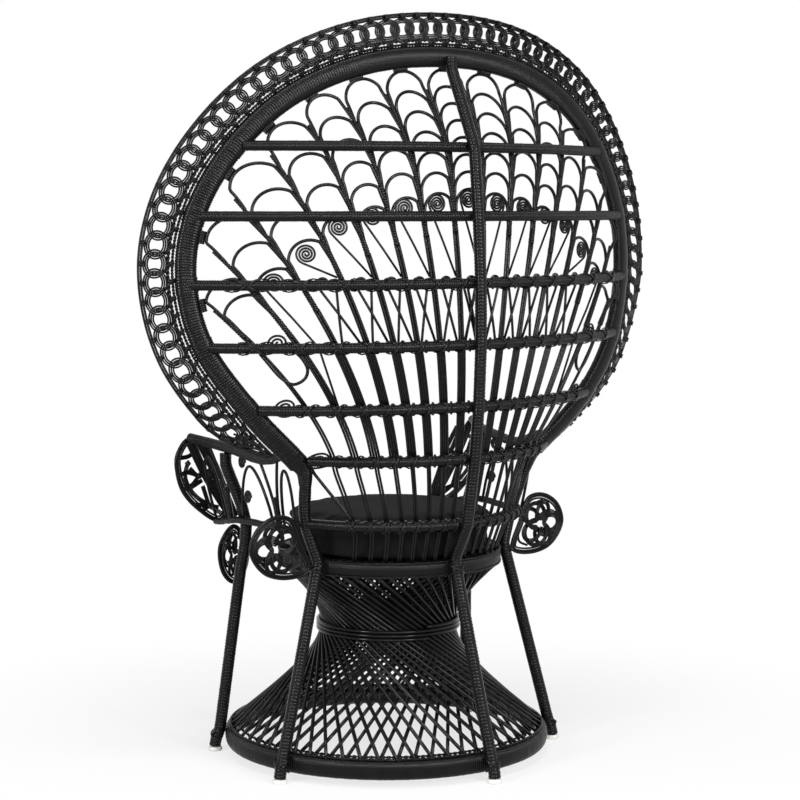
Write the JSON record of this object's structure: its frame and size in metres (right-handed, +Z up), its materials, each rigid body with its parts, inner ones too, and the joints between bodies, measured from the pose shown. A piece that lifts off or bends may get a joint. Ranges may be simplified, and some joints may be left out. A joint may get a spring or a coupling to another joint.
{
  "type": "peacock chair",
  "caption": "Rattan armchair with a tall round fan back, a laced ring border, rolled arms, a waisted cane pedestal and a loose round seat cushion.",
  "frame": {"origin": "on the floor, under the middle of the chair's bounding box", "axes": "+Z up, -Y the way the sitter faces, +X the sitter's left"},
  "size_m": [1.1818, 0.6896, 1.4649],
  "materials": {
    "lacquered_rattan": "satin black lacquer",
    "cushion_fabric": "matte charcoal weave",
    "glide_plastic": "moulded, pale"
  },
  "bodies": {
    "chair": {"arm_front_lace_left": "lacquered_rattan", "arm_front_lace_right": "lacquered_rattan", "arm_panel_left": "lacquered_rattan", "arm_panel_right": "lacquered_rattan", "arm_rail_left": "lacquered_rattan", "arm_rail_right": "lacquered_rattan", "arm_rear_lace_left": "lacquered_rattan", "arm_rear_lace_right": "lacquered_rattan", "back_hoop": "lacquered_rattan", "back_rib_1": "lacquered_rattan", "back_rib_2": "lacquered_rattan", "back_rib_3": "lacquered_rattan", "back_rib_4": "lacquered_rattan", "back_rib_5": "lacquered_rattan", "back_rib_6": "lacquered_rattan", "back_rib_7": "lacquered_rattan", "back_spine": "lacquered_rattan", "base_hoop": "lacquered_rattan", "border_inner_rail": "lacquered_rattan", "border_outer_rail": "lacquered_rattan", "border_wave_front": "lacquered_rattan", "border_wave_rear": "lacquered_rattan", "fan_scallops_1": "lacquered_rattan", "fan_scallops_2": "lacquered_rattan", "fan_scallops_3": "lacquered_rattan", "fan_scallops_4": "lacquered_rattan", "fan_scallops_5": "lacquered_rattan", "fan_scallops_6": "lacquered_rattan", "fan_stem_left_1": "lacquered_rattan", "fan_stem_left_2": "lacquered_rattan", "fan_stem_left_3": "lacquered_rattan", "fan_stem_left_4": "lacquered_rattan", "fan_stem_left_5": "lacquered_rattan", "fan_stem_left_6": "lacquered_rattan", "fan_stem_left_7": "lacquered_rattan", "fan_stem_left_8": "lacquered_rattan", "fan_stem_right_1": "lacquered_rattan", "fan_stem_right_2": "lacquered_rattan", "fan_stem_right_3": "lacquered_rattan", "fan_stem_right_4": "lacquered_rattan", "fan_stem_right_5": "lacquered_rattan", "fan_stem_right_6": "lacquered_rattan", "fan_stem_right_7": "lacquered_rattan", "fan_stem_right_8": "lacquered_rattan", "glide_front_left": "glide_plastic", "glide_front_right": "glide_plastic", "glide_rear_centre": "glide_plastic", "glide_rear_left": "glide_plastic", "glide_rear_right": "glide_plastic", "leg_front_left": "lacquered_rattan", "leg_front_right": "lacquered_rattan", "leg_rear_centre": "lacquered_rattan", "leg_rear_left": "lacquered_rattan", "leg_rear_right": "lacquered_rattan", "pedestal_inner_canes": "lacquered_rattan", "pedestal_outer_canes": "lacquered_rattan", "seat_deck": "lacquered_rattan", "seat_hoop": "lacquered_rattan", "waist_binding": "lacquered_rattan"},
    "cushion": {"seat_cushion": "cushion_fabric"}
  },
  "joints": [
    {"name": "cushion_lift", "type": "slide", "parent": "chair", "child": "cushion", "axis": [0, 0, 1], "range_m": [0, 0.25]}
  ]
}
